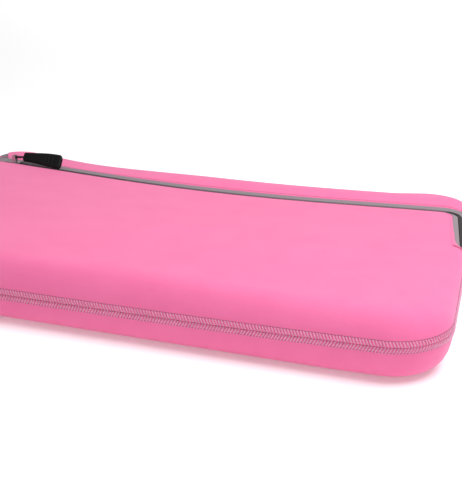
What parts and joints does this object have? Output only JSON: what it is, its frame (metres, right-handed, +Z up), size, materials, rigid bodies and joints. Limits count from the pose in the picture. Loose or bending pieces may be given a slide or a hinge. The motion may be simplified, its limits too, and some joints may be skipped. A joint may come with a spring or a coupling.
{
  "type": "laptop sleeve",
  "caption": "Soft neoprene laptop sleeve with a flatlock seam round its walls and a zip across the top near one long edge.",
  "frame": {"origin": "middle of the resting face, in the plan centre of the sleeve", "axes": "+X along the zip, +Y towards the zip's long wall, +Z up from the resting face"},
  "size_m": [0.389, 0.2565, 0.0392],
  "materials": {
    "pink_neoprene": "warp-knit nylon jersey bonded to closed-cell neoprene, matt with a soft sheen",
    "lining_jersey": "grey knit jersey, brushed",
    "stretch_gusset": "grey stretch knit",
    "seam_thread": "twisted polyester thread",
    "topstitch_thread": "twisted polyester thread",
    "zip_tape": "woven polyester tape",
    "zip_coil": "moulded nylon coil",
    "slider_metal": "die-cast zinc, black enamel",
    "pull_rubber": "moulded soft rubber, satin"
  },
  "bodies": {
    "root": {"front_panel": "pink_neoprene", "front_lining": "lining_jersey", "back_panel": "pink_neoprene", "back_lining": "lining_jersey", "left_gusset": "stretch_gusset", "right_gusset": "stretch_gusset", "lip_fold": "pink_neoprene", "seam_upper_stitches": "seam_thread", "seam_lower_stitches": "seam_thread", "front_zip_tape": "zip_tape", "front_coil": "zip_coil", "front_topstitch": "topstitch_thread", "closed_end_stop": "slider_metal", "open_end_stop": "slider_metal", "closed_end_tack": "topstitch_thread", "open_end_tack": "topstitch_thread"},
    "lip": {"mouth_lip": "pink_neoprene", "mouth_lip_lining": "lining_jersey", "rear_zip_tape": "zip_tape", "rear_coil": "zip_coil", "rear_topstitch": "topstitch_thread"},
    "slider": {"slider_body": "slider_metal"},
    "link": {"pull_link": "slider_metal"},
    "tab": {"pull_tab": "pull_rubber"}
  },
  "joints": [
    {"name": "mouth_open", "type": "hinge", "parent": "root", "child": "lip", "pos_m": [0, 0.119, 0.009], "axis": [-1, 0, 0], "range_deg": [0, 85], "deforming": ["lip_fold", "left_gusset", "right_gusset", "rear_zip_tape", "rear_coil", "rear_topstitch"]},
    {"name": "slider_slide", "type": "slide", "parent": "root", "child": "slider", "axis": [1, 0, 0], "range_m": [0, 0.315]},
    {"name": "pull_lift", "type": "hinge", "parent": "slider", "child": "link", "pos_m": [-0.1635, 0.09009, 0.02968], "axis": [0, -0.9985, 0.0546], "range_deg": [0, 150]},
    {"name": "tab_turn", "type": "hinge", "parent": "link", "child": "tab", "pos_m": [-0.1635, 0.09009, 0.02968], "axis": [0.9962, 0.0048, 0.087], "range_deg": [-50, 40]}
  ]
}
